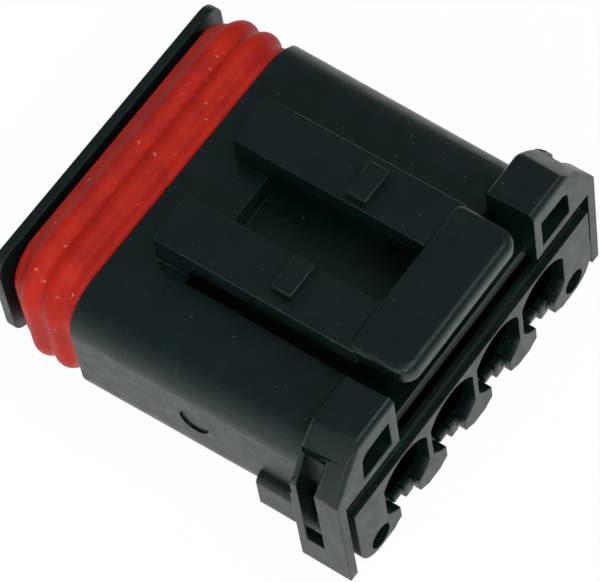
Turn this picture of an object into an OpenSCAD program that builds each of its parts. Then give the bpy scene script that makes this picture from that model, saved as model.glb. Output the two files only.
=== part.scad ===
// Sealed four-way wire connector, socket half, in millimetres.
// Mating end towards -Y, wire end towards +Y, latch on top (+Z).
// Origin: middle of the outline in X and Y, on the plane that the feet stand on.

/* [Ways] */
// Number of wire ways in the row
ways = 4; // [2:1:6]
// Distance between neighbouring ways
pitch = 4.0; // [3.9:0.1:5]
// Height of the ways' axes above the feet
way_z = 3.2; // [3.15:0.05:3.4]
// Diameter of the bore that grips a wire seal
seal_bore_d = 3.5; // [3:0.1:3.6]
// Depth of the wire-seal bore
seal_bore_len = 5.4; // [4:0.2:7]
// Width of a contact chamber
chamber_w = 2.3; // [2.2:0.1:2.6]
// Height of a contact chamber
chamber_h = 2.2; // [2:0.1:2.3]

/* [Body] */
// Side wall between the last way's cell and the body side
side_wall = 1.65; // [1.5:0.05:2.5]
// Height of the body
body_h = 8.2; // [8:0.1:9.5]
// Height of the body's underside above the feet
body_lift = 0.5; // [0.3:0.1:0.8]
// Length of the body from the seal shoulder to the rear face
body_len = 16.45; // [15.5:0.05:20]
// Radius of the body's long edges
body_edge_r = 2.2; // [1.2:0.1:2.6]
// How far the low collar stands out from the body side
collar_out = 0.5; // [0.3:0.05:0.6]
// Height of the low collar
collar_h = 3.0; // [2:0.1:4]
// Length of the low collar in front of the skirts
collar_len = 3.1; // [1:0.1:6]
// Diameter of the shallow round mark on each body side
mark_d = 1.75; // [1:0.05:2]
// Depth of the shallow round mark
mark_depth = 0.12; // [0.05:0.01:0.3]

/* [Nose and ring seal] */
// Length of the nose that carries the ring seal
nose_len = 4.6; // [4.4:0.1:7]
// Step from the body outline down to the nose
nose_step = 1.4; // [1.2:0.1:1.5]
// Radius of the nose's long edges
nose_edge_r = 1.0; // [0.5:0.1:1.4]
// Length of the ring seal
seal_len = 4.15; // [4:0.05:4.3]
// How far the seal ribs stand out beyond the body
seal_proud = 0.5; // [0.2:0.1:0.8]
// Distance between the two seal ribs
rib_pitch = 1.45; // [1.4:0.05:1.6]
// Radius of a seal rib's crown
rib_r = 0.72; // [0.65:0.01:0.75]
// Thickness of the seal band under the ribs
seal_band = 1.3; // [1:0.05:1.5]

/* [Front holder] */
// Thickness of the front flange
flange_t = 0.6; // [0.5:0.1:1]
// How far the flange ends stay inside the body sides
flange_inset = 0.22; // [0.1:0.02:0.6]
// Height of the flange
flange_h = 6.7; // [6:0.1:7]
// Height of the flange's underside above the feet
flange_z = 1.6; // [1.2:0.1:1.9]
// Radius of the flange corners
flange_r = 2.0; // [1:0.1:2.4]
// Length of a locking finger
finger_len = 3.7; // [3.4:0.1:3.9]
// Thickness of a locking finger
finger_t = 0.5; // [0.4:0.05:0.55]
// Width of a locking finger
finger_w = 1.4; // [1:0.1:1.5]
// Width of a mating blade's window
blade_w = 1.5; // [1:0.1:1.7]
// Height of a mating blade's window
blade_h = 0.9; // [0.7:0.05:1]

/* [Latch] */
// Width of a latch rail
rail_w = 3.0; // [2.5:0.1:3.2]
// Gap between the two rails
rail_gap = 3.7; // [3:0.1:4.4]
// Thickness of the free part of a rail
rail_t = 1.2; // [1:0.05:1.35]
// Height of the rail tops above the body's top
rail_stand = 1.95; // [1.8:0.05:2.2]
// Length of the fixed rail roots
root_len = 1.98; // [1.6:0.1:3]
// Distance from the seal shoulder to the rail roots
root_back = 1.97; // [1:0.1:3]
// Depth of the recess under the latch
recess_depth = 1.4; // [1.3:0.05:1.6]
// Length of the thumb bar
bar_len = 3.7; // [3:0.1:4.2]
// Thickness of the thumb bar
bar_t = 1.1; // [1:0.05:1.5]
// How far the thumb bar stands out over the rails at each side
bar_over = 0.1; // [0:0.05:0.25]
// Radius of the thumb bar's corners seen from above
bar_r = 1.0; // [0.4:0.1:1.4]
// Radius of the thumb bar's rear top edge
bar_edge_r = 0.45; // [0.2:0.05:0.7]
// Width of a lock step on a rail
lock_w = 2.15; // [1.5:0.05:2.3]
// Length of a lock step
lock_len = 1.36; // [1:0.02:2]
// Height of a lock step
lock_h = 0.64; // [0.3:0.02:0.8]
// Distance from the rail root to the lock step
lock_back = 4.7; // [3.5:0.1:6]
// Distance from a rail's inner edge to its lock step
lock_in = 0.2; // [0.1:0.05:0.6]

/* [Ears and skirts] */
// Gap between the thumb bar and an ear
ear_gap = 1.0; // [0.7:0.05:1.1]
// Width of the flat top of an ear
ear_w = 2.7; // [2.4:0.1:3]
// Length of an ear
ear_len = 2.84; // [2.6:0.02:3.2]
// Height of an ear above the body's top
ear_h = 1.9; // [1.7:0.05:2.2]
// Radius of an ear's rear top edge
ear_edge_r = 0.4; // [0.2:0.05:0.6]
// Drop of an ear's outer slope down to the upright skirt
ear_drop = 3.1; // [2:0.1:4]
// Radius of an ear's bulged outer slope
ear_slope_r = 8.0; // [4:0.5:20]
// How far the skirts stand out beyond the body sides
skirt_out = 1.4; // [1.35:0.01:1.9]
// Thickness of a skirt
skirt_t = 0.6; // [0.45:0.05:0.7]
// Length of a skirt
skirt_len = 2.99; // [2.6:0.01:3.1]
// Width of the upright slot in a skirt
slot_w = 1.05; // [0.6:0.05:1.2]
// Height of the slot's lower end above the feet
slot_z = 2.05; // [1.5:0.05:3]
// Width of the window in an ear's rear face
window_w = 2.3; // [1.5:0.1:2.4]
// Height of the window in an ear's rear face
window_h = 2.05; // [1.2:0.05:2.1]
// Depth of the hollow behind the window
window_depth = 2.0; // [1:0.1:2.2]

/* [Rear holder] */
// Thickness of the whole rear holder plate
plate_t = 0.85; // [0.7:0.05:1.2]
// Thickness of the raised front layer of the plate
ledge_t = 0.4; // [0.3:0.05:0.5]
// Height of the plate's top edge above the way axes
plate_rise = 2.3; // [2.25:0.05:2.6]
// Extra height of the raised front layer
ledge_rise = 0.15; // [0.05:0.05:0.3]
// Radius of the plate's lower corners
plate_r = 1.6; // [0.8:0.1:2]
// Gap between the plate ends and the skirts
plate_gap = 0.28; // [0.1:0.02:0.4]
// Half width of a wire opening
opening_half_w = 1.82; // [1.77:0.01:1.85]
// Radius of a wire opening's arched top and bottom
opening_r = 2.12; // [2.05:0.01:2.2]
// Width of the gap in the rim under a wire opening
rim_gap = 1.65; // [1:0.05:2]
// Height of the scallop under a wire opening
scallop_h = 0.45; // [0.2:0.05:0.6]
// Radius of the scallop under a wire opening
scallop_r = 2.65; // [2:0.05:3.5]
// Diameter of the corner holes
corner_hole_d = 1.45; // [1:0.05:1.6]
// Distance of a corner hole from the plate's end
corner_hole_in = 1.6; // [1.3:0.1:2]
// Height of the corner holes above the feet
corner_hole_z = 0.98; // [0.9:0.02:1.3]
// Length of the side clip arms
clip_len = 1.6; // [1.2:0.1:1.8]
// Thickness of the side clip arms
clip_t = 0.5; // [0.4:0.05:0.55]
// Height of the side clip arms
clip_h = 2.4; // [1.5:0.1:2.5]
// Bite of a clip barb into the body side
barb = 0.25; // [0.15:0.05:0.3]

/* [Contacts] */
// Outer width of a contact's socket box
box_w = 1.9; // [1.6:0.05:2]
// Outer height of a contact's socket box
box_h = 1.8; // [1.6:0.05:1.9]
// Length of a contact's socket box
box_len = 6.2; // [5.6:0.1:7]
// Sheet thickness of a contact
sheet = 0.25; // [0.2:0.01:0.3]
// Length of the conductor crimp
crimp_len = 2.2; // [1.6:0.1:2.6]
// Length of the seal crimp
seal_crimp_len = 2.0; // [1.4:0.1:2.4]
// Length of the open necks between box and crimps
neck_len = 0.9; // [0.6:0.1:1.2]
// Distance from the nose's front face to a contact
contact_back = 0.4; // [0.2:0.1:0.8]

/* [Clearances] */
// Gap between pieces that slide or snap together
fit_gap = 0.05; // [0.03:0.01:0.08]
// Gap between the latch and its recess at each side
latch_gap = 0.3; // [0.2:0.05:0.4]

/* [Hidden] */
$fn = 48;
eps = 0.01;

black = "#20292a";
silicone = "#c8362f";
tin = "#b9b8b0";

// Stations along Y, from the wire end to the mating end
overall_len = flange_t + nose_len + body_len + plate_t;
rear_y = overall_len / 2;
body_rear_y = rear_y - plate_t;
shoulder_y = body_rear_y - body_len;
nose_y = shoulder_y - nose_len;
front_y = nose_y - flange_t;
chamber_y = body_rear_y - seal_bore_len;
root_y = shoulder_y + root_back;
hinge_y = root_y + root_len;
bar_rear_y = rear_y - 0.1;
bar_y = bar_rear_y - bar_len;
ear_rear_y = rear_y - 0.15;
ear_y = ear_rear_y - ear_len;
skirt_y = ear_rear_y - skirt_len;
slot_y = skirt_y + 0.54;

// Half widths
body_x = (ways * pitch) / 2 + side_wall;
nose_x = body_x - nose_step;
flange_x = body_x - flange_inset;
skirt_x = body_x + skirt_out;
plate_x = skirt_x - skirt_t - plate_gap;
rail_x0 = rail_gap / 2;
rail_x1 = rail_x0 + rail_w;
bar_x = rail_x1 + bar_over;
ear_x0 = bar_x + ear_gap;
ear_x1 = ear_x0 + ear_w;
window_x0 = ear_x0 + 0.6;

// Heights
deck_z = body_lift + body_h;
nose_z0 = body_lift + nose_step;
nose_z1 = deck_z - nose_step;
rail_z1 = deck_z + rail_stand;
rail_z0 = rail_z1 - rail_t;
hinge_z = rail_z1 - rail_t / 2;
recess_z = deck_z - recess_depth;
ear_z1 = deck_z + ear_h;
window_z0 = ear_z1 - 3.4;
ear_z0 = window_z0 - 0.6;
plate_z1 = way_z + plate_rise;
chamber_z0 = way_z - chamber_h / 2;
chamber_z1 = way_z + chamber_h / 2;
lance_z = chamber_z1 + 0.15;
lance_t = 0.4;
lance_len = 3.8;
lance_w = finger_w - 0.2;
finger_z = lance_z + lance_t + 0.12;
finger_slot_z1 = finger_z + finger_t + fit_gap;
finger_slot_w = finger_w + 2 * fit_gap;
lance_root_y = nose_y + finger_len + 3.4;
contact_z = chamber_z0 + 0.03;

function way_x(i) = (i - (ways + 1) / 2) * -pitch;
function arc(cx, cz, r, a0, a1, n = 8) =
    [for (k = [0:n]) let (a = a0 + (a1 - a0) * k / n) [cx + r * cos(a), cz + r * sin(a)]];

// Arc of radius r that bulges up and outward from p down to q
function arc_between(p, q, r) =
    let (d = q - p, m = (p + q) / 2, h = sqrt(r * r - d * d / 4),
         c = m + [d.y, -d.x] / norm(d) * h, a = p - c, b = q - c)
    arc(c.x, c.y, r, atan2(a.y, a.x), atan2(b.y, b.x));

// Extrudes a cross-section drawn in (x, z) between two stations along Y
module along_y(y0, y1) {
    translate([0, y1, 0])
        rotate([90, 0, 0])
            linear_extrude(height = y1 - y0)
                children();
}

// Extrudes a side view drawn in (y, z) between two stations along X
module along_x(x0, x1) {
    translate([x0, 0, 0])
        rotate([90, 0, 90])
            linear_extrude(height = x1 - x0)
                children();
}

module rounded_rect(x0, x1, z0, z1, r) {
    polygon(concat(
        arc(x1 - r, z1 - r, r, 0, 90),
        arc(x0 + r, z1 - r, r, 90, 180),
        arc(x0 + r, z0 + r, r, 180, 270),
        arc(x1 - r, z0 + r, r, 270, 360)));
}

module mirrored_x() {
    children();
    mirror([1, 0, 0]) children();
}

module each_way() {
    for (i = [1:ways])
        translate([way_x(i), 0, 0]) children();
}

// ---------------------------------------------------------------- housing

module body_block() {
    along_y(shoulder_y, body_rear_y)
        rounded_rect(-body_x, body_x, body_lift, deck_z, body_edge_r);
    along_y(nose_y, shoulder_y + eps)
        rounded_rect(-nose_x, nose_x, nose_z0, nose_z1, nose_edge_r);
    along_y(skirt_y - collar_len, body_rear_y)
        rounded_rect(-body_x - collar_out, body_x + collar_out,
                     body_lift - 0.2, body_lift - 0.2 + collar_h, 0.6);
}

// Ear, outer slope and skirt share one section; the inside is left open
module ear_section() {
    polygon(concat(
        [[ear_x0, deck_z - body_edge_r], [ear_x0, ear_z1]],
        arc_between([ear_x1, ear_z1], [skirt_x, ear_z1 - ear_drop], ear_slope_r),
        [[skirt_x, 0], [skirt_x - skirt_t, 0], [skirt_x - skirt_t, deck_z - body_edge_r]]));
}

module ear_side_view() {
    polygon(concat(
        [[ear_y, 0], [ear_y, ear_z1]],
        arc(ear_rear_y - ear_edge_r, ear_z1 - ear_edge_r, ear_edge_r, 90, 0),
        [[ear_rear_y, 0]]));
}

module ear() {
    intersection() {
        along_y(skirt_y, ear_rear_y) ear_section();
        along_x(0, skirt_x + 1) ear_side_view();
    }
    // skirt front end and the web that ties it to the body
    along_y(skirt_y, ear_y + eps)
        translate([body_x - 0.3, 0])
            square([skirt_x - body_x + 0.3, ear_z1 - 4.2]);
    along_y(skirt_y, slot_y)
        translate([body_x - 0.3, body_lift])
            square([skirt_out, ear_z0 - body_lift]);
}

module ear_cuts() {
    // window and hollow in the ear
    along_y(ear_rear_y - window_depth, rear_y)
        polygon(concat(
            [[window_x0, window_z0], [window_x0, window_z0 + window_h]],
            arc(window_x0 + window_w - 0.7, window_z0 + window_h - 0.7, 0.7, 90, 20),
            [[window_x0 + window_w, window_z0]]));
    // room under the ear for the rear holder
    along_y(body_rear_y, rear_y)
        translate([0, -eps])
            square([skirt_x - skirt_t, ear_z0 + eps]);
    // upright slot through the skirt
    along_y(slot_y, slot_y + slot_w)
        translate([body_x + 0.3, slot_z])
            square([skirt_out + 1, ear_z1 - 1.4 - slot_z]);
    // groove for the rear holder's clip barb
    along_y(body_rear_y - clip_len - fit_gap, body_rear_y - clip_len + 0.6)
        translate([body_x - barb - fit_gap, way_z - clip_h / 2 - fit_gap])
            square([skirt_out + barb - skirt_t, clip_h + 2 * fit_gap]);
    // channel beside the body for the clip arm
    along_y(slot_y, rear_y)
        translate([body_x + eps, -eps])
            square([skirt_out - skirt_t - eps, ear_z0 + eps]);
}

module way_cuts() {
    each_way() {
        // wire-seal bore
        translate([0, chamber_y, way_z])
            rotate([-90, 0, 0])
                cylinder(d = seal_bore_d, h = seal_bore_len + plate_t);
        // contact chamber
        along_y(nose_y - eps, chamber_y + eps)
            translate([-chamber_w / 2, chamber_z0])
                square([chamber_w, chamber_h]);
        // slot for the lance and the locking finger above it
        along_y(nose_y - eps, lance_root_y)
            translate([-finger_slot_w / 2, chamber_z1 - eps])
                square([finger_slot_w, finger_slot_z1 - chamber_z1 + eps]);
    }
}

// Flexible tongue that drops behind the contact's socket box
module lances() {
    each_way()
        along_x(-lance_w / 2, lance_w / 2)
            polygon([
                [lance_root_y + eps, lance_z], [lance_root_y + eps, lance_z + lance_t],
                [lance_root_y - lance_len, lance_z + lance_t],
                [lance_root_y - lance_len, contact_z + box_h - sheet + 0.03],
                [lance_root_y - lance_len + 0.5, contact_z + box_h - sheet + 0.03],
                [lance_root_y - lance_len + 1.0, lance_z]]);
}

module latch_roots() {
    mirrored_x()
        difference() {
            translate([rail_x0, root_y, deck_z - eps])
                cube([rail_w, root_len, rail_stand + eps]);
            translate([rail_x0 - 1, hinge_y, hinge_z])
                rotate([0, 90, 0])
                    cylinder(r = rail_t / 2 + fit_gap, h = rail_w + 2);
        }
}

module housing() {
    color(black)
        difference() {
            union() {
                body_block();
                latch_roots();
                mirrored_x() ear();
            }
            // recess under the latch, wider between the ears
            translate([-bar_x - latch_gap, hinge_y, recess_z])
                cube([2 * (bar_x + latch_gap), overall_len, recess_depth + 0.02]);
            translate([-ear_x0, ear_y - 0.2, recess_z])
                cube([2 * ear_x0, overall_len, recess_depth + 1]);
            difference() {
                way_cuts();
                lances();
            }
            mirrored_x() ear_cuts();
            // blind holes behind the rear holder's corner holes
            mirrored_x()
                translate([plate_x - corner_hole_in, body_rear_y - 1.2, corner_hole_z])
                    rotate([-90, 0, 0])
                        cylinder(d = corner_hole_d, h = 3);
            // shallow round mark on each side
            mirrored_x()
                translate([body_x - mark_depth, shoulder_y + 7.2, way_z + 1.3])
                    rotate([0, 90, 0])
                        cylinder(d = mark_d, h = 1);
        }
}

// ---------------------------------------------------------------- latch

module bar_side_view() {
    polygon(concat(
        [[bar_y, rail_z0], [bar_y, rail_z1], [bar_y + 0.25, rail_z1 + 0.08]],
        arc(bar_rear_y - bar_edge_r, rail_z1 + 0.08 - bar_edge_r, bar_edge_r, 90, 0),
        [[bar_rear_y, rail_z1 - bar_t], [bar_y + 0.5, rail_z1 - bar_t]]));
}

module latch_lever() {
    lock_y = hinge_y + lock_back;
    color(black) {
        mirrored_x() {
            // rail with a round root end about the hinge line
            translate([rail_x0, hinge_y, hinge_z])
                rotate([0, 90, 0])
                    cylinder(d = rail_t, h = rail_w);
            translate([rail_x0, hinge_y, rail_z0])
                cube([rail_w, bar_y - hinge_y + 1, rail_t]);
            // lock step, sloped at the front so that it rides under the catch
            along_x(rail_x0 + lock_in, rail_x0 + lock_in + lock_w)
                polygon([
                    [lock_y, rail_z1 - eps], [lock_y + 0.12, rail_z1 + lock_h],
                    [lock_y + lock_len, rail_z1 + lock_h], [lock_y + lock_len, rail_z1 - eps]]);
        }
        intersection() {
            along_x(-bar_x, bar_x) bar_side_view();
            linear_extrude(height = 2 * rail_z1)
                rounded_rect(-bar_x, bar_x, bar_y, bar_rear_y, bar_r);
        }
    }
}

// ---------------------------------------------------------------- ring seal

// Section of the band: [distance along Y from its front, height above the nose]
module seal_section() {
    rib_top = nose_step + seal_proud;
    rib_y = seal_len / 2 - 0.12;
    square([seal_len, seal_band - 0.1]);
    translate([0.15, 0]) square([seal_len - 0.3, seal_band]);
    for (s = [-1, 1])
        translate([rib_y + s * rib_pitch / 2, 0]) {
            translate([0, rib_top - rib_r]) circle(r = rib_r);
            translate([-rib_r, 0]) square([2 * rib_r, rib_top - rib_r]);
        }
}

// One straight run of the band, laid on the nose's top face
module seal_run(length) {
    translate([-length / 2, 0, 0])
        rotate([90, 0, 90])
            linear_extrude(height = length)
                seal_section();
}

// Quarter turn of the band round a nose edge
module seal_corner() {
    mirror([0, 1, 0])
        rotate([90, 0, 0])
            rotate_extrude(angle = 90)
                translate([nose_edge_r, 0])
                    rotate([0, 0, 90])
                        mirror([0, 1, 0])
                            seal_section();
}

module ring_seal() {
    seal_y = shoulder_y - fit_gap - seal_len;
    straight_x = 2 * (nose_x - nose_edge_r);
    straight_z = nose_z1 - nose_z0 - 2 * nose_edge_r;
    mid_z = (nose_z0 + nose_z1) / 2;
    color(silicone)
        translate([0, seal_y, mid_z])
            for (s = [0, 1])
                rotate([0, 180 * s, 0]) {
                    translate([0, 0, nose_z1 - mid_z]) seal_run(straight_x);
                    translate([nose_x, 0, 0]) rotate([0, 90, 0]) seal_run(straight_z);
                    for (t = [0, 1])
                        mirror([t, 0, 0])
                            translate([nose_x - nose_edge_r, 0, straight_z / 2])
                                seal_corner();
                }
}

// ---------------------------------------------------------------- holders

module front_holder() {
    color(black) {
        difference() {
            along_y(front_y, nose_y - fit_gap / 2)
                rounded_rect(-flange_x, flange_x, flange_z, flange_z + flange_h, flange_r);
            each_way()
                along_y(front_y - 1, nose_y + 1)
                    translate([-blade_w / 2, contact_z + (box_h - blade_h) / 2])
                        square([blade_w, blade_h]);
        }
        // locking fingers over the contact lances
        each_way()
            along_y(nose_y - flange_t / 2, nose_y + finger_len)
                translate([-finger_w / 2, finger_z])
                    square([finger_w, finger_t]);
    }
}

module rear_plate_outline(top_z) {
    polygon(concat(
        [[plate_x, top_z], [-plate_x, top_z]],
        arc(-plate_x + plate_r, plate_r, plate_r, 180, 270),
        arc(plate_x - plate_r, plate_r, plate_r, 270, 360)));
}

module wire_opening() {
    intersection() {
        translate([0, way_z]) circle(r = opening_r);
        translate([-opening_half_w, 0]) square([2 * opening_half_w, 2 * way_z]);
    }
    translate([-rim_gap / 2, -1]) square([rim_gap, way_z - 0.5]);
    translate([0, scallop_h - scallop_r]) circle(r = scallop_r);
}

module rear_holder() {
    front = body_rear_y + fit_gap / 2;
    color(black) {
        difference() {
            union() {
                along_y(front, rear_y) rear_plate_outline(plate_z1);
                along_y(front, front + ledge_t) rear_plate_outline(plate_z1 + ledge_rise);
            }
            each_way()
                along_y(front - 1, rear_y + 1) wire_opening();
            mirrored_x()
                translate([plate_x - corner_hole_in, front - 1, corner_hole_z])
                    rotate([-90, 0, 0])
                        cylinder(d = corner_hole_d, h = 4);
        }
        // side arms that snap into the grooves of the body
        mirrored_x() {
            along_y(body_rear_y - clip_len, front + eps)
                translate([plate_x - clip_t, way_z - clip_h / 2])
                    square([clip_t, clip_h]);
            along_y(body_rear_y - clip_len, body_rear_y - clip_len + 0.5)
                translate([body_x - barb, way_z - clip_h / 2])
                    square([plate_x - body_x + barb - 0.1, clip_h]);
        }
    }
}

// ---------------------------------------------------------------- contacts

// Open crimp barrel: a floor with two wings that are not yet rolled over
module crimp(y0, y1, width, wing_h) {
    along_y(y0, y1)
        difference() {
            translate([-width / 2, contact_z]) square([width, wing_h]);
            translate([-width / 2 + sheet, contact_z + sheet])
                square([width - 2 * sheet, wing_h]);
        }
}

module contact(i) {
    box_y = nose_y + contact_back;
    crimp_y = box_y + box_len + neck_len;
    seal_crimp_y = crimp_y + crimp_len + neck_len;
    window_y = lance_root_y - lance_len - 0.2;
    color(tin)
        translate([way_x(i), 0, 0]) {
            difference() {
                along_y(box_y, box_y + box_len)
                    translate([-box_w / 2, contact_z]) square([box_w, box_h]);
                along_y(box_y - 1, box_y + box_len + 1)
                    translate([-box_w / 2 + sheet, contact_z + sheet])
                        square([box_w - 2 * sheet, box_h - 2 * sheet]);
                // window in the roof for the housing's lance
                translate([-box_w / 2 + sheet, window_y, contact_z + box_h / 2])
                    cube([box_w - 2 * sheet, 1.3, box_h]);
            }
            crimp(box_y + box_len - eps, crimp_y + eps, box_w - 0.4, 0.7);
            crimp(crimp_y, crimp_y + crimp_len, box_w - 0.2, box_h - 0.1);
            crimp(crimp_y + crimp_len - eps, seal_crimp_y + eps, box_w - 0.4, 0.7);
            crimp(seal_crimp_y, seal_crimp_y + seal_crimp_len, box_w, box_h + 0.2);
        }
}

housing();
latch_lever();
ring_seal();
front_holder();
rear_holder();
for (i = [1:ways])
    contact(i);
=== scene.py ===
"""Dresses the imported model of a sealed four-way wire connector for its studio view."""

import logging
import math
from dataclasses import dataclass
from enum import Enum
from typing import Callable, Iterable

import bmesh
import bpy
from mathutils import Matrix, Vector

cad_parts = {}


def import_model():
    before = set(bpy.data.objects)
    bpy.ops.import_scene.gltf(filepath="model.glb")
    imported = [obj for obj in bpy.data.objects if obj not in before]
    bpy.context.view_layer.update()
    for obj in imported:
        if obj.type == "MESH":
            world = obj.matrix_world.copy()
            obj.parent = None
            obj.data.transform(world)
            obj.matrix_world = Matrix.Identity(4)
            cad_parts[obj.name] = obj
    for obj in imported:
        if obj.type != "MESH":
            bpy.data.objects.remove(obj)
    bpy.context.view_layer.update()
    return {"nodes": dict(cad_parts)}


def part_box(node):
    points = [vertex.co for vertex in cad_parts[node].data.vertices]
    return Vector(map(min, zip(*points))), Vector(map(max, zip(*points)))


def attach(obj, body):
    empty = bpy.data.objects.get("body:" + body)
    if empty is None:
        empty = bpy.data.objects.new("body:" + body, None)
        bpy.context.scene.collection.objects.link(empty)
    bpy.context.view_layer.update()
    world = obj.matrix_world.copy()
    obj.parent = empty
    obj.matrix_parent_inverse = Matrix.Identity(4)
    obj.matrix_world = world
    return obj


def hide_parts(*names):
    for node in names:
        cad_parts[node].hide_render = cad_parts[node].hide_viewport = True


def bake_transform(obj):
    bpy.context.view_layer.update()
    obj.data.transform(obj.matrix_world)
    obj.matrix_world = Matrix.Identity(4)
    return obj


LOG = logging.getLogger("connector")
MM = 0.001
CRISP = 32.0        # degrees from which an edge counts as crisp
FLAT = 0.7          # degrees under which two faces count as one
WELD = 0.002        # millimetres under which two points count as one
NEAR = 0.01         # millimetres within which two levels count as one
FACE_WEIGHT = 90    # how far large faces lead the shading of small ones

Pair = tuple[float, float]
Colour = tuple[float, float, float]
Place = tuple[float, float, float]


class Body(Enum):
    """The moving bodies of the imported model."""

    SHELL = "body"
    LATCH = "latch"
    HOLDER = "holder"


class Slot(Enum):
    """The record's material slots."""

    PLASTIC = "black_plastic"
    SILICONE = "red_silicone"
    TIN = "tin_plate"


# ---------------------------------------------------------------- materials


class Nodes:
    """A short way to add and join shader nodes in one material."""

    def __init__(self, name: str) -> None:
        """Makes an empty node material.

        Args:
            name: The material's name.
        """
        self.material = bpy.data.materials.new(name)
        self.material.use_nodes = True
        self.tree = self.material.node_tree
        self.tree.nodes.clear()
        self.output = self.add("ShaderNodeOutputMaterial")

    def add(self, kind: str, **settings: object) -> bpy.types.Node:
        """Adds one node.

        Args:
            kind: The node's type name.
            **settings: Attributes of the node, or values of inputs by name.

        Returns:
            The new node.
        """
        node = self.tree.nodes.new(kind)
        for key, value in settings.items():
            if key in node.inputs:
                node.inputs[key].default_value = value
            else:
                setattr(node, key, value)
        return node

    def join(self, source: bpy.types.NodeSocket, target: bpy.types.NodeSocket) -> None:
        """Links an output to an input."""
        self.tree.links.new(source, target)

    def noise(self, scale: float, detail: float,
              stretch: Vector = Vector((1, 1, 1))) -> bpy.types.NodeSocket:
        """Adds a noise pattern in object space.

        Args:
            scale: Cells per millimetre.
            detail: Octaves of the noise.
            stretch: Scale of the pattern along each axis.

        Returns:
            The noise's value output.
        """
        place = self.add("ShaderNodeTexCoord")
        mapping = self.add("ShaderNodeMapping")
        mapping.inputs["Scale"].default_value = stretch / MM
        self.join(place.outputs["Object"], mapping.inputs["Vector"])
        noise = self.add("ShaderNodeTexNoise", Scale=scale, Detail=detail)
        self.join(mapping.outputs["Vector"], noise.inputs["Vector"])
        return noise.outputs["Fac"]

    def ramp(self, source: bpy.types.NodeSocket, low: float, high: float,
             a: float, b: float) -> bpy.types.NodeSocket:
        """Maps a value from one range to another, clamped.

        Args:
            source: The value.
            low: Input that gives a.
            high: Input that gives b.
            a: First output.
            b: Second output.

        Returns:
            The mapped value.
        """
        node = self.add("ShaderNodeMapRange")
        for key, value in (("From Min", low), ("From Max", high), ("To Min", a), ("To Max", b)):
            node.inputs[key].default_value = value
        self.join(source, node.inputs["Value"])
        return node.outputs["Result"]

    def mix(self, fac: bpy.types.NodeSocket, a: Colour, b: Colour) -> bpy.types.NodeSocket:
        """Mixes two colours.

        Args:
            fac: The share of b.
            a: First colour.
            b: Second colour.

        Returns:
            The mixed colour.
        """
        node = self.add("ShaderNodeMix", data_type="RGBA")
        first, second = (s for s in node.inputs if s.type == "RGBA")
        first.default_value = (*a, 1)
        second.default_value = (*b, 1)
        self.join(fac, node.inputs["Factor"])
        return next(s for s in node.outputs if s.type == "RGBA")

    def cover(self, fac: bpy.types.NodeSocket, base: bpy.types.NodeSocket,
              top: Colour) -> bpy.types.NodeSocket:
        """Lays a colour over a patterned base.

        Args:
            fac: The share of the covering colour.
            base: The base's colour.
            top: The covering colour.

        Returns:
            The covered colour.
        """
        node = self.add("ShaderNodeMix", data_type="RGBA")
        first, second = (s for s in node.inputs if s.type == "RGBA")
        self.join(base, first)
        second.default_value = (*top, 1)
        self.join(fac, node.inputs["Factor"])
        return next(s for s in node.outputs if s.type == "RGBA")

    def bump(self, height: bpy.types.NodeSocket, depth_mm: float,
             after: bpy.types.NodeSocket | None = None) -> bpy.types.NodeSocket:
        """Adds a bump.

        Args:
            height: The height pattern, 0 to 1.
            depth_mm: Depth of the pattern in millimetres.
            after: A normal that this bump is laid on.

        Returns:
            The bumped normal.
        """
        node = self.add("ShaderNodeBump", Strength=1.0, Distance=depth_mm * MM)
        self.join(height, node.inputs["Height"])
        if after is not None:
            self.join(after, node.inputs["Normal"])
        return node.outputs["Normal"]


@dataclass(frozen=True)
class MouldedPlastic:
    """Black glass-filled plastic with a fine satin grain, dust specks and handling sheen."""

    name: str = "black moulded plastic"
    colour: Colour = (0.0016, 0.0088, 0.0088)
    worn: Colour = (0.0030, 0.0125, 0.0120)
    dust: Colour = (0.07, 0.08, 0.075)
    sheen_tint: Colour = (0.84, 1.0, 0.98)
    refraction: float = 1.46
    roughness: Pair = (0.30, 0.44)
    satin_scale: float = 1.1
    wear_scale: float = 0.35
    wear_edge: Pair = (0.35, 0.7)
    dust_scale: float = 3.6
    dust_edge: Pair = (0.765, 0.80)
    dust_cover: float = 0.8
    grain_scale: float = 9.0
    grain_depth: float = 0.004
    flow_scale: float = 0.5
    flow_depth: float = 0.02

    def make(self) -> bpy.types.Material:
        """Builds the material.

        Returns:
            The material, with its patterns in object space.
        """
        n = Nodes(self.name)
        shader = n.add("ShaderNodeBsdfPrincipled")
        shader.inputs["IOR"].default_value = self.refraction
        shader.inputs["Specular Tint"].default_value = (*self.sheen_tint, 1)
        wear = n.ramp(n.noise(self.wear_scale, 4.0), *self.wear_edge, 0.0, 1.0)
        specks = n.ramp(n.noise(self.dust_scale, 1.0), *self.dust_edge, 0.0, self.dust_cover)
        tone = n.cover(specks, n.mix(wear, self.colour, self.worn), self.dust)
        n.join(tone, shader.inputs["Base Color"])
        satin = n.ramp(n.noise(self.satin_scale, 5.0), 0.3, 0.75, *self.roughness)
        n.join(satin, shader.inputs["Roughness"])
        flow = n.bump(n.noise(self.flow_scale, 2.0), self.flow_depth)
        grain = n.bump(n.noise(self.grain_scale, 4.0), self.grain_depth, flow)
        n.join(grain, shader.inputs["Normal"])
        n.join(shader.outputs["BSDF"], n.output.inputs["Surface"])
        return n.material


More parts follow.
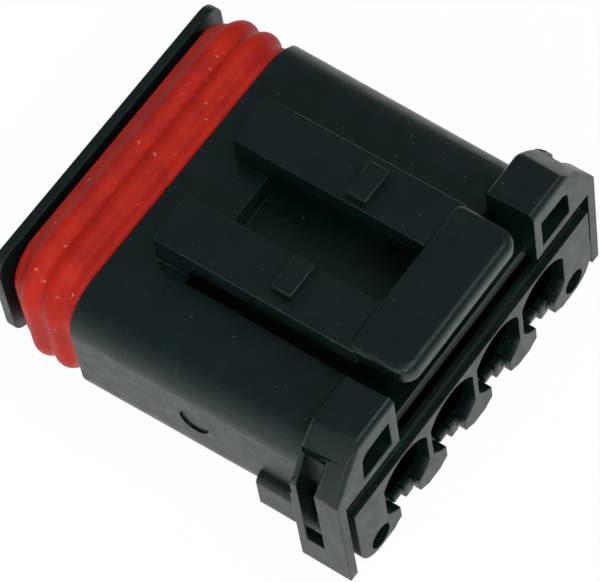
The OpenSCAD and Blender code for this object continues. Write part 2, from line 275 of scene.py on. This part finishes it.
@dataclass(frozen=True)
class Silicone:
    """Smooth red silicone rubber that lets a little light through its thin ribs."""

    name: str = "red silicone"
    colour: Colour = (0.66, 0.026, 0.012)
    deep: Colour = (0.50, 0.018, 0.014)
    speck: Colour = (0.82, 0.32, 0.18)
    sheen_tint: Colour = (1.0, 0.62, 0.5)
    refraction: float = 1.41
    roughness: float = 0.5
    gloss: float = 0.35
    glow: float = 0.2
    glow_reach: Colour = (1.0, 0.12, 0.08)
    glow_depth: float = 0.6
    cloud_scale: float = 0.7
    cloud_edge: Pair = (0.35, 0.65)
    speck_scale: float = 2.6
    speck_edge: Pair = (0.725, 0.775)
    speck_cover: float = 0.7
    skin_scale: float = 3.0
    skin_depth: float = 0.006

    def make(self) -> bpy.types.Material:
        """Builds the material.

        Returns:
            The material, with its patterns in object space.
        """
        n = Nodes(self.name)
        shader = n.add("ShaderNodeBsdfPrincipled")
        for socket, value in (
            ("IOR", self.refraction),
            ("Roughness", self.roughness),
            ("Specular IOR Level", self.gloss),
            ("Specular Tint", (*self.sheen_tint, 1)),
            ("Subsurface Weight", self.glow),
            ("Subsurface Radius", self.glow_reach),
            ("Subsurface Scale", self.glow_depth * MM),
        ):
            shader.inputs[socket].default_value = value
        cloud = n.ramp(n.noise(self.cloud_scale, 3.0), *self.cloud_edge, 0.0, 1.0)
        specks = n.ramp(n.noise(self.speck_scale, 1.0), *self.speck_edge, 0.0, self.speck_cover)
        tone = n.cover(specks, n.mix(cloud, self.colour, self.deep), self.speck)
        n.join(tone, shader.inputs["Base Color"])
        n.join(n.bump(n.noise(self.skin_scale, 3.0), self.skin_depth), shader.inputs["Normal"])
        n.join(shader.outputs["BSDF"], n.output.inputs["Surface"])
        return n.material


@dataclass(frozen=True)
class TinPlate:
    """Bright tin on formed copper-alloy strip, with streaks along the strip."""

    name: str = "tin plate"
    colour: Colour = (0.72, 0.71, 0.68)
    dull: Colour = (0.55, 0.54, 0.52)
    roughness: Pair = (0.22, 0.38)
    streak_edge: Pair = (0.3, 0.7)
    streak_scale: float = 4.0
    streak_stretch: float = 0.08
    streak_depth: float = 0.004

    def make(self) -> bpy.types.Material:
        """Builds the material.

        Returns:
            The material, with its streaks in object space.
        """
        n = Nodes(self.name)
        shader = n.add("ShaderNodeBsdfPrincipled")
        shader.inputs["Metallic"].default_value = 1.0
        streaks = n.noise(self.streak_scale, 3.0, Vector((1.0, self.streak_stretch, 1.0)))
        share = n.ramp(streaks, *self.streak_edge, 0.0, 1.0)
        n.join(n.mix(share, self.colour, self.dull), shader.inputs["Base Color"])
        n.join(n.ramp(streaks, *self.streak_edge, *self.roughness), shader.inputs["Roughness"])
        n.join(n.bump(streaks, self.streak_depth), shader.inputs["Normal"])
        n.join(shader.outputs["BSDF"], n.output.inputs["Surface"])
        return n.material


# ---------------------------------------------------------------- modelling


def finish_piece(bm: bmesh.types.BMesh, name: str, material: bpy.types.Material,
                 crease: float = CRISP) -> bpy.types.Object:
    """Turns a bmesh in millimetres into a finished object at the origin.

    Args:
        bm: The modelled piece; it is freed.
        name: The object's name.
        material: Its finish.
        crease: Edges turned by more than this many degrees stay crisp.

    Returns:
        The object, linked to the scene.
    """
    for face in bm.faces:
        face.smooth = True
    for edge in bm.edges:
        closed = len(edge.link_faces) == 2
        edge.smooth = closed and edge.calc_face_angle(0.0) < math.radians(crease)
    bmesh.ops.scale(bm, vec=(MM, MM, MM), verts=bm.verts)
    mesh = bpy.data.meshes.new(name)
    bm.to_mesh(mesh)
    bm.free()
    piece = bpy.data.objects.new(name, mesh)
    bpy.context.scene.collection.objects.link(piece)
    mesh.materials.append(material)
    shading = piece.modifiers.new("even shading", "WEIGHTED_NORMAL")
    shading.keep_sharp = True
    shading.weight = FACE_WEIGHT
    return piece


def solid_from_node(node: bpy.types.Object) -> bmesh.types.BMesh:
    """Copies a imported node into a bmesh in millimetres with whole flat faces.

    Args:
        node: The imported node's object, which stays as it is.

    Returns:
        A merged copy whose flat areas are single faces.
    """
    bm = bmesh.new()
    bm.from_mesh(node.data)
    bmesh.ops.scale(bm, vec=(1 / MM, 1 / MM, 1 / MM), verts=bm.verts)
    bmesh.ops.remove_doubles(bm, verts=bm.verts, dist=WELD)
    bmesh.ops.dissolve_limit(bm, angle_limit=math.radians(FLAT), use_dissolve_boundaries=False,
                             verts=bm.verts, edges=bm.edges)
    return bm


def block(x: Pair, y: Pair, z: Pair) -> bmesh.types.BMesh:
    """Makes a block between two corners.

    Args:
        x: Its lowest and highest x.
        y: Its lowest and highest y.
        z: Its lowest and highest z.

    Returns:
        The block, in millimetres.
    """
    bm = bmesh.new()
    bmesh.ops.create_cube(bm, size=1.0)
    bmesh.ops.scale(bm, vec=[high - low for low, high in (x, y, z)], verts=bm.verts)
    bmesh.ops.translate(bm, vec=[(low + high) / 2 for low, high in (x, y, z)], verts=bm.verts)
    return bm


def absorb(whole: bmesh.types.BMesh, part: bmesh.types.BMesh) -> None:
    """Adds one bmesh to another.

    Args:
        whole: The bmesh that grows.
        part: The bmesh that is added; it is freed.
    """
    mesh = bpy.data.meshes.new("part")
    part.to_mesh(mesh)
    part.free()
    whole.from_mesh(mesh)
    bpy.data.meshes.remove(mesh)


def round_edges(bm: bmesh.types.BMesh, edges: list[bmesh.types.BMEdge], radius: float,
                segments: int, clamp: bool = False) -> None:
    """Rounds the given edges.

    Args:
        bm: The moulding, in millimetres.
        edges: The edges to round.
        radius: Width of the rounding.
        segments: Steps across a rounding.
        clamp: Keeps roundings from running into each other.
    """
    bmesh.ops.bevel(bm, geom=edges, offset=radius, offset_type="OFFSET", segments=segments,
                    profile=0.5, affect="EDGES", clamp_overlap=clamp, material=-1)


def soften(bm: bmesh.types.BMesh, radius: float, wanted: Callable[[bmesh.types.BMEdge], bool],
           segments: int = 2, angle: float = CRISP, clamp: bool = True) -> None:
    """Rounds the crisp edges of a moulding.

    Args:
        bm: The moulding, in millimetres.
        radius: Width of the rounding.
        wanted: Says which of the crisp edges are rounded.
        segments: Steps across a rounding.
        angle: Edges turned by more than this many degrees count as crisp.
        clamp: Keeps roundings from running into each other.
    """
    edges = [e for e in bm.edges if len(e.link_faces) == 2
             and e.calc_face_angle(0.0) > math.radians(angle) and wanted(e)]
    round_edges(bm, edges, radius, segments, clamp)


@dataclass
class Piece:
    """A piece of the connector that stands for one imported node."""

    node: str
    body: Body
    slot: Slot

    def stand_in(self, piece: bpy.types.Object) -> None:
        """Lets the finished piece stand for its node and reports it."""
        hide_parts(self.node)
        LOG.info("%s: %d faces", piece.name, len(piece.data.polygons))


@dataclass
class Moulding(Piece):
    """A one-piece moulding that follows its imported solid, with softened edges."""

    edge_radius: float
    least_share: float = 2.2

    def wanted(self, edge: bmesh.types.BMEdge) -> bool:
        """Says whether an edge is long enough to be rounded."""
        return edge.calc_length() > self.least_share * self.edge_radius

    def shape(self, bm: bmesh.types.BMesh) -> None:
        """Rounds the crisp edges of the copied solid."""
        soften(bm, self.edge_radius, self.wanted)

    def build(self, nodes: dict[str, bpy.types.Object], material: bpy.types.Material) -> None:
        """Builds the piece, puts it on its body and lets it stand for its node.

        Args:
            nodes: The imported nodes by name.
            material: The finish.
        """
        bm = solid_from_node(nodes[self.node])
        self.shape(bm)
        piece = finish_piece(bm, self.node + "_moulding", material)
        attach(piece, self.body.value)
        self.stand_in(piece)


@dataclass
class HousingShell(Moulding):
    """The housing: the body narrows a little to its front, and the ears have full soft edges."""

    ear_radius: float = 0.3
    ear_x: float = 5.9
    ear_y: float = 8.2
    ear_least: float = 0.12
    slope_x: float = 8.6
    slope_low: float = 7.6
    window_top: float = 9.3
    ways_x: float = 8.2
    ways_top: float = 5.6
    plain_least: float = 0.45
    plain_angle: float = 40.0
    draft_front: float = -0.22
    draft_rear: float = 0.08
    front_y: float = -6.05
    rear_y: float = 8.0
    core_x: float = 7.0
    lean_run: float = 2.0

    def on_ear(self, edge: bmesh.types.BMEdge) -> bool:
        """Says whether an edge bounds the outer form of an ear.

        Args:
            edge: An edge of the housing.

        Returns:
            True for an edge above the window or along the ear's outer slope.
        """
        a, b = (v.co for v in edge.verts)
        rearward, outward = min(a.y, b.y), min(abs(a.x), abs(b.x))
        if rearward < self.ear_y or outward < self.ear_x or edge.calc_length() < self.ear_least:
            return False
        lowest = min(a.z, b.z)
        return lowest > self.window_top or (outward > self.slope_x and lowest > self.slope_low)

    def plain(self, edge: bmesh.types.BMEdge) -> bool:
        """Says whether an edge is a long one outside the ways.

        Args:
            edge: An edge of the housing.

        Returns:
            True for an edge that gets the small rounding.
        """
        a, b = (v.co for v in edge.verts)
        inside = max(abs(a.x), abs(b.x)) < self.ways_x and max(a.z, b.z) < self.ways_top
        return edge.calc_length() > self.plain_least and not inside

    def draft(self, bm: bmesh.types.BMesh) -> None:
        """Leans the body sides: narrower at the seal, wider at the skirts.

        Args:
            bm: The copied solid.
        """
        for vert in bm.verts:
            beyond = abs(vert.co.x) - self.core_x
            if vert.co.y < self.rear_y and beyond > 0:
                along = (vert.co.y - self.front_y) / (self.rear_y - self.front_y)
                lean = self.draft_front + (self.draft_rear - self.draft_front) * max(0.0, along)
                vert.co.x += math.copysign(lean * min(1.0, beyond / self.lean_run), vert.co.x)

    def shape(self, bm: bmesh.types.BMesh) -> None:
        """Leans the sides, then rounds the ears and the other long edges.

        Args:
            bm: The copied solid.
        """
        self.draft(bm)
        soften(bm, self.ear_radius, self.on_ear, 4, clamp=False)
        soften(bm, self.edge_radius, self.plain, 2, self.plain_angle, False)


@dataclass
class FrontPlate(Moulding):
    """The front holder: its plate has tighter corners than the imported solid."""

    solid_corner: float = 2.0
    corner: float = 1.1
    thickness: float = 0.6
    reach: float = 0.12

    def tighten(self, bm: bmesh.types.BMesh) -> None:
        """Draws the plate's corners out to a smaller radius.

        Args:
            bm: The copied solid.
        """
        low, high = (Vector(corner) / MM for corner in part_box(self.node))
        middle = (low.z + high.z) / 2
        grown = self.solid_corner - self.corner
        for vert in bm.verts:
            up = 1 if vert.co.z > middle else -1
            rim_z = high.z if up > 0 else low.z
            hub = Vector((high.x - self.solid_corner, 0, rim_z - up * self.solid_corner))
            out = Vector((abs(vert.co.x) - hub.x, 0, vert.co.z - hub.z))
            on_plate = vert.co.y <= low.y + self.thickness + 2 * NEAR
            in_corner = min(out.x, out.z * up) > -NEAR
            on_rim = abs(out.length - self.solid_corner) < self.reach
            if on_plate and in_corner and on_rim:
                shift = Vector((grown, 0, grown * up))
                out = shift + out.normalized() * (out.length - grown)
                vert.co.x = math.copysign(hub.x + out.x, vert.co.x)
                vert.co.z = hub.z + out.z

    def shape(self, bm: bmesh.types.BMesh) -> None:
        """Tightens the plate's corners, then rounds the crisp edges."""
        self.tighten(bm)
        super().shape(bm)


@dataclass
class SpringLatch(Piece):
    """The latch: two rails with their roots, a lock step on each and a thumb bar."""

    rail_x: Pair = (1.85, 4.85)
    rail_z: Pair = (9.45, 10.65)
    rail_round: float = 0.15
    rail_least: float = 0.6
    rail_angle: float = 50.0
    root_y: Pair = (-4.08, -2.08)
    root_z: float = 8.68
    root_fillet: tuple[Pair, ...] = ((0.75, 0.0), (0.25, 0.12), (0.02, 0.4))
    bend_from: float = 0.6
    bend_step: float = 0.35
    bend_cuts: int = 30
    blend_y: Pair = (-0.4, 1.2)
    bar_x: float = 4.78
    bar_y: Pair = (7.45, 11.15)
    bar_z: Pair = (9.85, 10.93)
    bar_lap: float = 0.6
    bar_corners: Pair = (0.55, 0.95)
    bar_top_round: float = 0.5
    bar_low_round: float = 0.1
    lock_x: Pair = (2.05, 4.2)
    lock_y: Pair = (2.6, 3.96)
    lock_z: float = 11.29
    lock_sink: float = 0.1
    lock_lean: float = 0.12
    lock_round: float = 0.12
    lock_angle: float = 40.0
    skin: float = 0.012

    def rail(self) -> bmesh.types.BMesh:
        """Models one rail with its root as a side view drawn out sideways.

        Returns:
            The rail on the +X side, cut across often enough to bend.
        """
        front, back = self.root_y[0] - self.skin, self.root_y[1]
        low, high = self.rail_z[0], self.rail_z[1] + self.skin
        tip = self.bar_y[0] + self.bar_lap
        under = [(back + run, low - drop) for run, drop in self.root_fillet]
        outline = [(front, self.root_z), (front, high), (tip, high), (tip, low), *under,
                   (back, self.root_z)]
        x0, x1 = self.rail_x[0] - self.skin, self.rail_x[1] + self.skin
        bm = bmesh.new()
        face = bm.faces.new([bm.verts.new((x0, y, z)) for y, z in outline])
        drawn = bmesh.ops.extrude_face_region(bm, geom=[face])
        far_side = [v for v in drawn["geom"] if isinstance(v, bmesh.types.BMVert)]
        bmesh.ops.translate(bm, vec=(x1 - x0, 0, 0), verts=far_side)
        bmesh.ops.recalc_face_normals(bm, faces=bm.faces)
        soften(bm, self.rail_round, lambda e: e.calc_length() > self.rail_least, 4, self.rail_angle)
        for cut in range(self.bend_cuts):
            y = front + self.bend_from + self.bend_step * cut
            bmesh.ops.bisect_plane(bm, geom=bm.verts[:] + bm.edges[:] + bm.faces[:],
                                   plane_co=(0, y, 0), plane_no=(0, 1, 0))
        return bm

    def thumb_bar(self) -> bmesh.types.BMesh:
        """Models the thumb bar: round corners in plan, a full top edge and a soft lower edge.

        Returns:
            The thumb bar.
        """
        bm = block((-self.bar_x, self.bar_x), self.bar_y, self.bar_z)
        height = self.bar_z[1] - self.bar_z[0]
        for row, steps in ((1, 8), (0, 5)):
            corners = [e for e in bm.edges
                       if abs(e.verts[0].co.z - e.verts[1].co.z) > height - NEAR
                       and abs(e.verts[0].co.y - self.bar_y[row]) < NEAR]
            round_edges(bm, corners, self.bar_corners[row], steps)
        top = [e for e in bm.edges if min(v.co.z for v in e.verts) > self.bar_z[1] - NEAR]
        round_edges(bm, top, self.bar_top_round, 6)
        low = [e for e in bm.edges if max(v.co.z for v in e.verts) < self.bar_z[0] + NEAR
               and e.calc_face_angle(0.0) > math.radians(CRISP)]
        round_edges(bm, low, self.bar_low_round, 2)
        return bm

    def lock_step(self) -> bmesh.types.BMesh:
        """Models one lock step with a sloped front.

        Returns:
            The lock step on the +X side.
        """
        bm = block(self.lock_x, self.lock_y, (self.rail_z[1] - self.lock_sink, self.lock_z))
        for vert in bm.verts:
            if vert.co.z > self.rail_z[1] and vert.co.y < self.lock_y[0] + NEAR:
                vert.co.y += self.lock_lean
        soften(bm, self.lock_round, lambda e: True, 4, self.lock_angle)
        return bm

    def build(self, nodes: dict[str, bpy.types.Object], material: bpy.types.Material) -> None:
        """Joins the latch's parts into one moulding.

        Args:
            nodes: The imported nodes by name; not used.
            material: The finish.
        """
        whole = bmesh.new()
        for side in (1, -1):
            for part in (self.rail(), self.lock_step()):
                if side < 0:
                    bmesh.ops.scale(part, vec=(-1, 1, 1), verts=part.verts)
                    bmesh.ops.reverse_faces(part, faces=part.faces)
                absorb(whole, part)
        absorb(whole, self.thumb_bar())
        piece = finish_piece(whole, "latch_moulding", material)
        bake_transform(piece)
        self.stand_in(piece)


@dataclass
class RingSeal(Piece):
    """The ring seal: one section with two broad ribs, swept round the nose."""

    front_y: float = -10.22
    straight_x: float = 6.95
    straight_z: float = 1.7
    middle_z: float = 4.6
    corner: float = 1.0
    corner_steps: int = 14
    crease: float = 60.0
    section: tuple[Pair, ...] = (
        (0.00, 0.17), (0.00, 0.95), (0.06, 1.14), (0.22, 1.24), (0.42, 1.30), (0.62, 1.42),
        (0.80, 1.60), (0.98, 1.77), (1.16, 1.87), (1.34, 1.90), (1.52, 1.87), (1.70, 1.78),
        (1.86, 1.66), (2.02, 1.60), (2.18, 1.66), (2.34, 1.78), (2.52, 1.87), (2.70, 1.90),
        (2.88, 1.87), (3.06, 1.77), (3.22, 1.62), (3.38, 1.52), (3.54, 1.50), (3.72, 1.54),
        (3.92, 1.52), (4.06, 1.42), (4.12, 1.30), (4.12, 0.17))

    def build(self, nodes: dict[str, bpy.types.Object], material: bpy.types.Material) -> None:
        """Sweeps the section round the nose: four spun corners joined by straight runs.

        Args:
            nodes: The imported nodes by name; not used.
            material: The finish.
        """
        bm = bmesh.new()
        crown_z = self.middle_z + self.straight_z + self.corner
        verts = [bm.verts.new((self.straight_x, self.front_y + y, crown_z + h))
                 for y, h in self.section]
        ring = verts + [bm.edges.new(pair) for pair in zip(verts, verts[1:])]
        across, upright = 2 * self.straight_x, 2 * self.straight_z
        for sx, sz, run in ((1, 1, (0, 0, -upright)), (1, -1, (-across, 0, 0)),
                            (-1, -1, (0, 0, upright)), (-1, 1, (across, 0, 0))):
            hub = (sx * self.straight_x, 0, self.middle_z + sz * self.straight_z)
            spun = bmesh.ops.spin(bm, geom=ring, cent=hub, axis=(0, 1, 0),
                                  angle=math.radians(90), steps=self.corner_steps)
            edges = [g for g in spun["geom_last"] if isinstance(g, bmesh.types.BMEdge)]
            drawn = bmesh.ops.extrude_edge_only(bm, edges=edges)
            ring = [g for g in drawn["geom"] if not isinstance(g, bmesh.types.BMFace)]
            moved = [g for g in ring if isinstance(g, bmesh.types.BMVert)]
            bmesh.ops.translate(bm, vec=run, verts=moved)
        bmesh.ops.remove_doubles(bm, verts=bm.verts, dist=WELD)
        bmesh.ops.recalc_face_normals(bm, faces=bm.faces)
        piece = finish_piece(bm, self.node + "_moulding", material, self.crease)
        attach(piece, self.body.value)
        self.stand_in(piece)


@dataclass(frozen=True)
class Stop:
    """One small stop: its width and height range and how far rearward it reaches."""

    x: Pair
    z: Pair
    rear: float


@dataclass
class BoreStops:
    """The two small stops of the housing in the gap under each wire opening."""

    ways: tuple[float, ...] = (6.0, 2.0, -2.0, -6.0)
    stops: tuple[Stop, ...] = (Stop((-0.74, -0.04), (0.42, 1.5), 10.9),
                               Stop((-0.04, 0.74), (0.92, 1.42), 10.78))
    front_y: float = 10.38
    edge_radius: float = 0.1

    def build(self, material: bpy.types.Material) -> None:
        """Builds the stops of all ways as one piece.

        Args:
            material: The finish.
        """
        whole = bmesh.new()
        for way in self.ways:
            for stop in self.stops:
                width = (way + stop.x[0], way + stop.x[1])
                bm = block(width, (self.front_y, stop.rear), stop.z)
                soften(bm, self.edge_radius, lambda e: True, 3)
                absorb(whole, bm)
        piece = finish_piece(whole, "bore_stops", material)
        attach(piece, Body.SHELL.value)
        LOG.info("%s: %d faces", piece.name, len(piece.data.polygons))


# ---------------------------------------------------------------- studio


@dataclass(frozen=True)
class Lamp:
    """A square area lamp: its name, place and edge in metres, and its power in watts."""

    name: str
    place: Place
    size: float
    watts: float


@dataclass
class Studio:
    """The pale floor, the soft lamps and the camera."""

    floor_span: float = 3.0
    floor_drop: float = 0.00002
    floor_grey: float = 0.9
    floor_white: float = 1.04
    floor_glow: float = 0.92
    sky_colour: Colour = (0.93, 0.97, 1.0)
    sky_strength: float = 0.24
    lamps: tuple[Lamp, ...] = (
        Lamp("key", (0.18, 0.18, 0.20), 0.022, 0.2),
        Lamp("side", (0.30, 0.02, 0.10), 0.20, 0.22),
        Lamp("top", (-0.05, 0.20, 0.40), 0.25, 0.55))
    lamp_aim: Place = (0, 0, 0.005)
    lens_mm: float = 240.0
    sensor_mm: float = 36.0
    clip_start: float = 0.01
    eye: Place = (0.0741, 0.0742, 0.1756)
    right: Place = (-0.5773, 0.8106, -0.0984)
    up: Place = (-0.7296, -0.4580, 0.5078)

    def floor_finish(self) -> bpy.types.Material:
        """Makes a floor that the camera and reflections see as white, under a soft shadow.

        Returns:
            The floor's material.
        """
        n = Nodes("white floor")
        grey = (self.floor_grey, self.floor_grey, self.floor_grey, 1)
        matt = n.add("ShaderNodeBsdfDiffuse", Color=grey)
        glow = n.add("ShaderNodeEmission", Color=(1, 1, 1, 1), Strength=self.floor_white)
        path = n.add("ShaderNodeLightPath")
        seen = path.outputs["Is Camera Ray"]
        for ray in ("Is Glossy Ray", "Is Transmission Ray"):
            either = n.add("ShaderNodeMath", operation="MAXIMUM")
            n.join(seen, either.inputs[0])
            n.join(path.outputs[ray], either.inputs[1])
            seen = either.outputs[0]
        share = n.add("ShaderNodeMath", operation="MULTIPLY")
        share.inputs[1].default_value = self.floor_glow
        n.join(seen, share.inputs[0])
        mix = n.add("ShaderNodeMixShader")
        n.join(share.outputs[0], mix.inputs["Fac"])
        n.join(matt.outputs[0], mix.inputs[1])
        n.join(glow.outputs[0], mix.inputs[2])
        n.join(mix.outputs[0], n.output.inputs["Surface"])
        return n.material

    def floor(self) -> None:
        """Lays the floor just under the object."""
        bm = bmesh.new()
        bmesh.ops.create_grid(bm, x_segments=1, y_segments=1, size=self.floor_span)
        mesh = bpy.data.meshes.new("floor")
        bm.to_mesh(mesh)
        bm.free()
        mesh.materials.append(self.floor_finish())
        floor = bpy.data.objects.new("floor", mesh)
        bpy.context.scene.collection.objects.link(floor)
        floor.location.z = -self.floor_drop

    def world(self) -> None:
        """Sets an even, low sky that the camera sees as white."""
        world = bpy.data.worlds.new("studio")
        bpy.context.scene.world = world
        world.use_nodes = True
        tree = world.node_tree
        tree.nodes.clear()
        out = tree.nodes.new("ShaderNodeOutputWorld")
        sky = tree.nodes.new("ShaderNodeBackground")
        sky.inputs["Color"].default_value = (*self.sky_colour, 1)
        sky.inputs["Strength"].default_value = self.sky_strength
        white = tree.nodes.new("ShaderNodeBackground")
        white.inputs["Color"].default_value = (1, 1, 1, 1)
        path = tree.nodes.new("ShaderNodeLightPath")
        mix = tree.nodes.new("ShaderNodeMixShader")
        tree.links.new(path.outputs["Is Camera Ray"], mix.inputs["Fac"])
        tree.links.new(sky.outputs[0], mix.inputs[1])
        tree.links.new(white.outputs[0], mix.inputs[2])
        tree.links.new(mix.outputs[0], out.inputs["Surface"])

    def hang(self, lamp: Lamp) -> None:
        """Adds a lamp aimed at the object.

        Args:
            lamp: The lamp.
        """
        data = bpy.data.lights.new(lamp.name, "AREA")
        data.size = lamp.size
        data.energy = lamp.watts
        light = bpy.data.objects.new(lamp.name, data)
        bpy.context.scene.collection.objects.link(light)
        light.location = lamp.place
        aim = Vector(self.lamp_aim) - Vector(lamp.place)
        light.rotation_euler = aim.to_track_quat("-Z", "Y").to_euler()

    def camera(self) -> None:
        """Places the camera at the viewing angle."""
        data = bpy.data.cameras.new("view")
        data.lens = self.lens_mm
        data.sensor_width = self.sensor_mm
        data.sensor_fit = "HORIZONTAL"
        data.clip_start = self.clip_start
        camera = bpy.data.objects.new("view", data)
        bpy.context.scene.collection.objects.link(camera)
        right = Vector(self.right).normalized()
        back = right.cross(Vector(self.up)).normalized()
        turn = Matrix((right, back.cross(right), back)).transposed().to_4x4()
        camera.matrix_world = Matrix.Translation(self.eye) @ turn
        bpy.context.scene.camera = camera

    def build(self) -> None:
        """Builds the whole studio."""
        self.floor()
        self.world()
        for lamp in self.lamps:
            self.hang(lamp)
        self.camera()
        bpy.context.scene.view_settings.view_transform = "Standard"


def dress(nodes: dict[str, bpy.types.Object], names: Iterable[str],
          material: bpy.types.Material) -> None:
    """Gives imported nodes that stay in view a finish.

    Args:
        nodes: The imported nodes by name.
        names: The nodes to dress.
        material: The finish.
    """
    for name in names:
        nodes[name].data.materials.clear()
        nodes[name].data.materials.append(material)
        LOG.info("%s: dressed", name)


def main() -> None:
    """Builds every piece of the connector and the studio."""
    logging.basicConfig(level=logging.INFO, format="%(message)s")
    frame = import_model()
    nodes = frame["nodes"]
    plastic = MouldedPlastic().make()
    silicone = Silicone().make()
    tin = TinPlate().make()
    Studio().build()
    for piece, material in (
        (HousingShell("housing", Body.SHELL, Slot.PLASTIC, 0.06), plastic),
        (SpringLatch("latch_lever", Body.LATCH, Slot.PLASTIC), plastic),
        (RingSeal("ring_seal", Body.SHELL, Slot.SILICONE), silicone),
        (FrontPlate("front_holder", Body.HOLDER, Slot.PLASTIC, 0.07), plastic),
        (Moulding("rear_holder", Body.SHELL, Slot.PLASTIC, 0.05), plastic),
    ):
        piece.build(nodes, material)
    BoreStops().build(plastic)
    dress(nodes, (name for name in nodes if name.startswith("contact")), tin)


if __name__ == "__main__":
    main()
